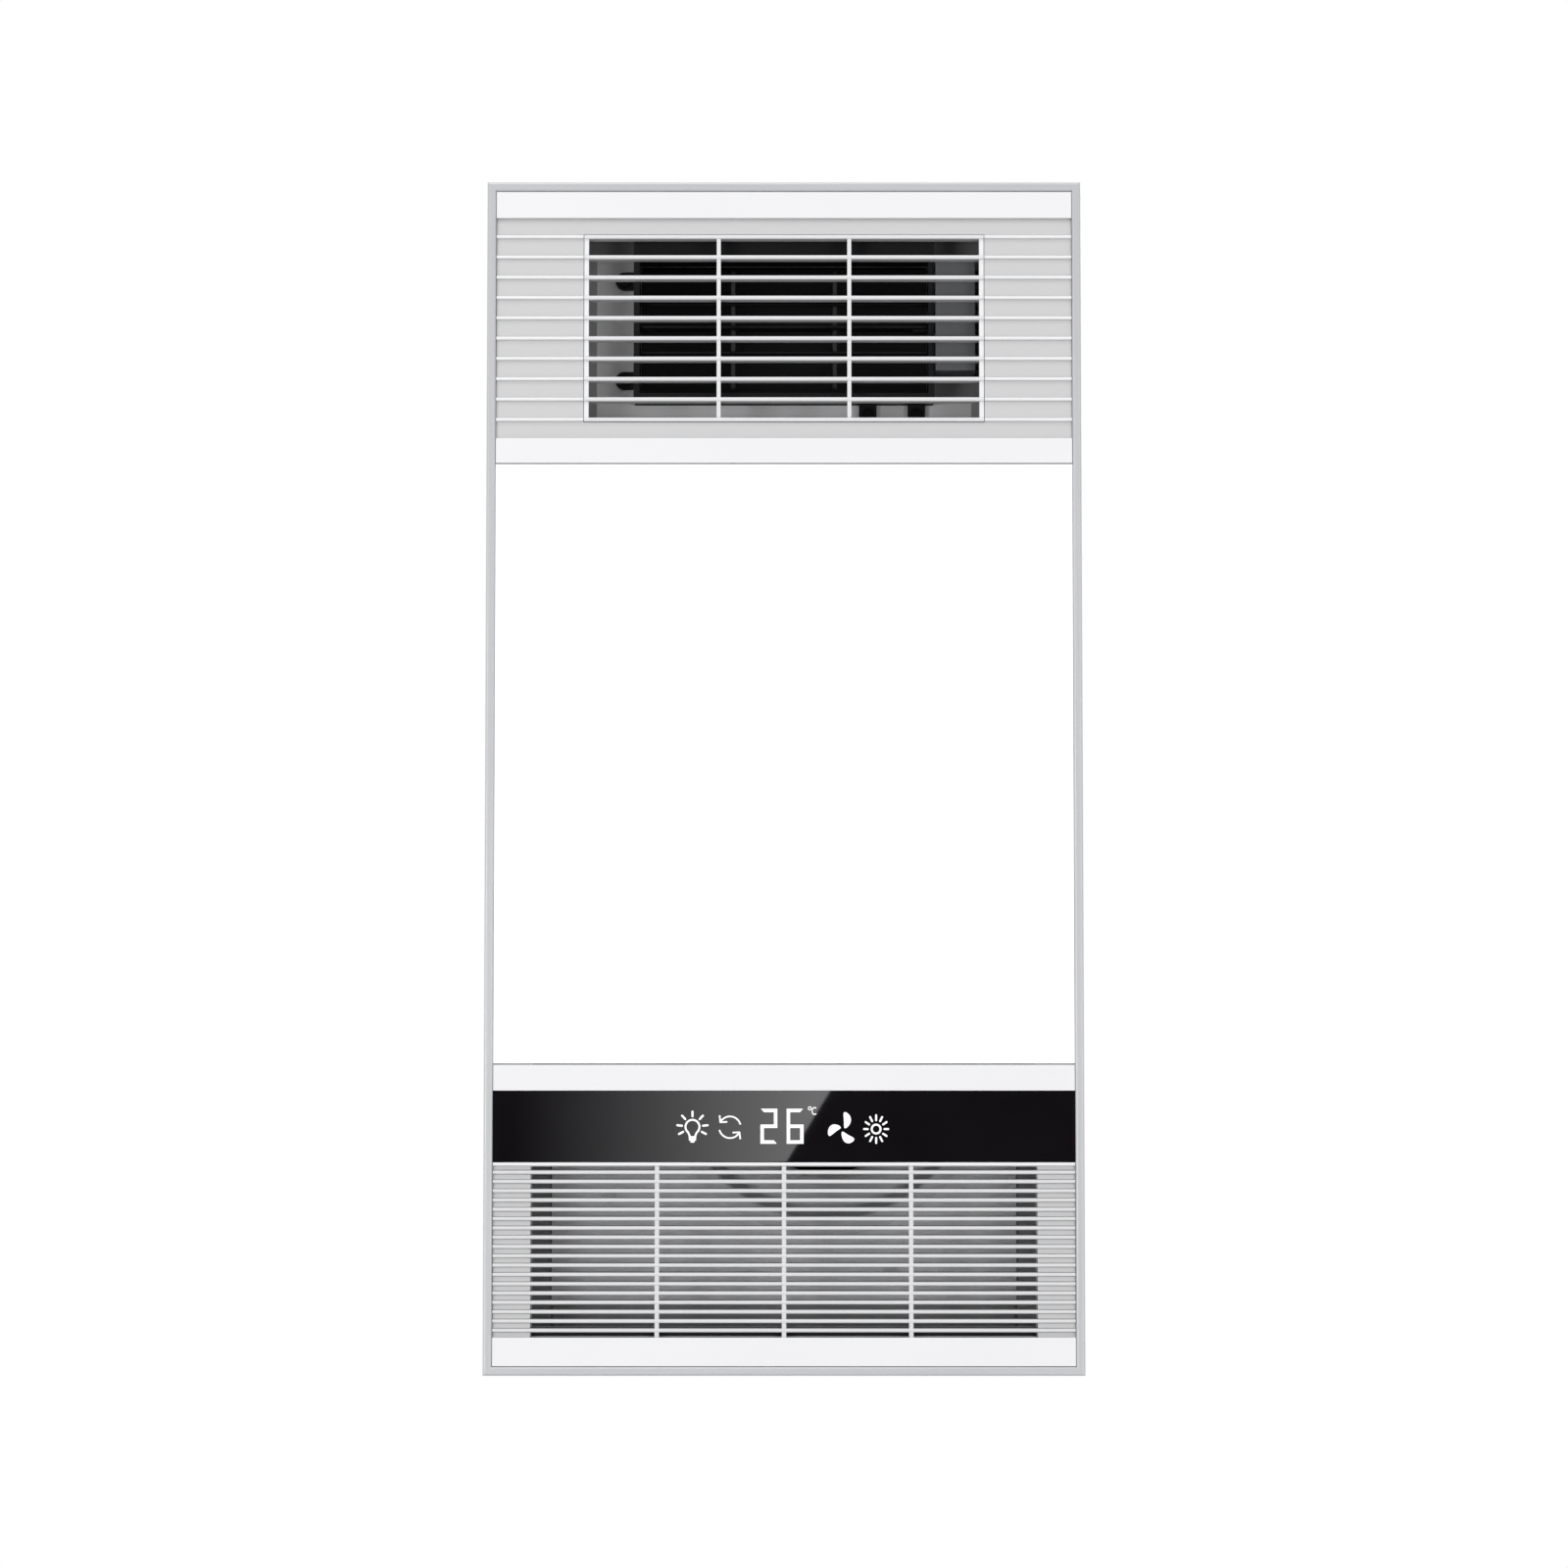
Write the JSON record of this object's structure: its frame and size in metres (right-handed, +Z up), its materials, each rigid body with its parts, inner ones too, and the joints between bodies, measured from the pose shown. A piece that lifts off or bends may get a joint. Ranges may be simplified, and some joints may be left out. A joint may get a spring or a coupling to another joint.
{
  "type": "bathroom heater exhaust fan",
  "caption": "Ceiling bathroom heater and exhaust fan with LED light, display strip, swing louvre and ducted side outlet in a galvanised housing.",
  "frame": {"origin": "centre of the four hanger holes, on the lower faces of the ears", "axes": "+Z up towards the ceiling void, face down; +Y from the warm-air outlet to the intake; +X across"},
  "size_m": [0.308, 0.6, 0.1522],
  "materials": {
    "rim_aluminium": "silver-grey anodised extrusion",
    "white_plastic": "satin white moulded plastic, grey in the recessed ribbed faces",
    "opal_diffuser": "opal diffuser, lit evenly from its edges",
    "clear_acrylic": "clear acrylic light guide with a fine dot pattern",
    "coated_steel": "light grey coated sheet",
    "spring_steel": "bright spring steel",
    "circuit_board": "green solder-masked board",
    "driver_case": "off-white moulded case",
    "black_window": "glossy black window with printed white signs",
    "display_block_black": "black display housing",
    "zinc_screws": "zinc-plated steel",
    "galvanised_steel": "galvanised sheet with a faint spangle",
    "grey_plastic": "grey moulded plastic",
    "motor_steel": "pressed steel motor case",
    "black_plastic": "black moulded plastic",
    "heater_ceramic": "tan ceramic heating elements",
    "fin_aluminium": "bright folded aluminium fins",
    "flap_plastic": "white moulded flap"
  },
  "bodies": {
    "chassis": {"housing": "galvanised_steel", "hanger_ears": "galvanised_steel", "fan_deck": "galvanised_steel", "inlet_ring": "grey_plastic", "scroll_wall": "galvanised_steel", "scroll_lid": "galvanised_steel", "fan_motor": "motor_steel", "run_capacitor": "black_plastic", "duct_floor": "galvanised_steel", "duct_walls": "galvanised_steel", "duct_lid": "galvanised_steel", "lid_hangers": "galvanised_steel", "heater_frame": "black_plastic", "ptc_elements": "heater_ceramic", "heater_fins": "fin_aluminium", "thermal_cutout": "driver_case", "exhaust_branch": "galvanised_steel", "exhaust_spigot": "grey_plastic", "flap_pin": "zinc_screws", "damper_motor": "motor_steel", "louvre_frame": "black_plastic", "vane_motor": "motor_steel", "vane_motor_cover": "galvanised_steel", "control_box": "coated_steel", "control_box_lid": "coated_steel", "control_board": "circuit_board", "terminal_block": "driver_case", "wiring_cover": "galvanised_steel", "cable_gland": "black_plastic", "chassis_screws": "zinc_screws"},
    "front_panel": {"left_side_rail": "rim_aluminium", "right_side_rail": "rim_aluminium", "outlet_end_rail": "rim_aluminium", "intake_end_rail": "rim_aluminium", "corner_keys": "spring_steel", "outlet_surround": "white_plastic", "outlet_grille": "white_plastic", "light_diffuser": "opal_diffuser", "light_guide": "clear_acrylic", "light_back_plate": "coated_steel", "led_strips": "circuit_board", "led_driver": "driver_case", "display_bezel": "white_plastic", "display_window": "black_window", "display_board": "circuit_board", "display_led_block": "display_block_black", "intake_grille": "white_plastic", "panel_spring_clips": "spring_steel", "panel_screws": "zinc_screws"},
    "fan": {"fan_wheel": "grey_plastic", "motor_shaft": "zinc_screws", "wheel_nut": "zinc_screws"},
    "damper": {"changeover_damper": "galvanised_steel"},
    "flap": {"backdraft_flap": "flap_plastic"},
    "link": {"vane_link": "black_plastic"},
    "vane_1": {"louvre_vane_1": "black_plastic"},
    "vane_2": {"louvre_vane_2": "black_plastic"},
    "vane_3": {"louvre_vane_3": "black_plastic"},
    "vane_4": {"louvre_vane_4": "black_plastic"},
    "vane_5": {"louvre_vane_5": "black_plastic"}
  },
  "joints": [
    {"name": "panel_drop", "type": "slide", "parent": "chassis", "child": "front_panel", "axis": [0, 0, -1], "range_m": [0, 0.04]},
    {"name": "fan_spin", "type": "hinge", "parent": "chassis", "child": "fan", "pos_m": [0.021, 0.148, 0.045], "axis": [0, 0, 1], "continuous": true},
    {"name": "damper_swing", "type": "hinge", "parent": "chassis", "child": "damper", "pos_m": [-0.0865, -0.052, 0.0636], "axis": [0, 0, -1], "range_deg": [0, 80]},
    {"name": "flap_swing", "type": "hinge", "parent": "chassis", "child": "flap", "pos_m": [-0.127, -0.003, 0.0756], "axis": [0, 1, 0], "range_deg": [0, 60]},
    {"name": "vane_1_tilt", "type": "hinge", "parent": "chassis", "child": "vane_1", "pos_m": [0, -0.2559, 0.003], "axis": [1, 0, 0], "range_deg": [-40, 40]},
    {"name": "vane_2_tilt", "type": "hinge", "parent": "chassis", "child": "vane_2", "pos_m": [0, -0.2427, 0.003], "axis": [1, 0, 0], "range_deg": [-40, 40]},
    {"name": "vane_3_tilt", "type": "hinge", "parent": "chassis", "child": "vane_3", "pos_m": [0, -0.2295, 0.003], "axis": [1, 0, 0], "range_deg": [-40, 40]},
    {"name": "vane_4_tilt", "type": "hinge", "parent": "chassis", "child": "vane_4", "pos_m": [0, -0.2163, 0.003], "axis": [1, 0, 0], "range_deg": [-40, 40]},
    {"name": "vane_5_tilt", "type": "hinge", "parent": "chassis", "child": "vane_5", "pos_m": [0, -0.2031, 0.003], "axis": [1, 0, 0], "range_deg": [-40, 40]},
    {"name": "link_swing", "type": "hinge", "parent": "vane_3", "child": "link", "pos_m": [0, -0.2295, 0.0082], "axis": [1, 0, 0], "range_deg": [-40, 40]}
  ],
  "couplings": [
    {"joint": "vane_1_tilt", "follows": "vane_3_tilt", "ratio": 1},
    {"joint": "vane_2_tilt", "follows": "vane_3_tilt", "ratio": 1},
    {"joint": "vane_4_tilt", "follows": "vane_3_tilt", "ratio": 1},
    {"joint": "vane_5_tilt", "follows": "vane_3_tilt", "ratio": 1},
    {"joint": "link_swing", "follows": "vane_3_tilt", "ratio": -1}
  ]
}
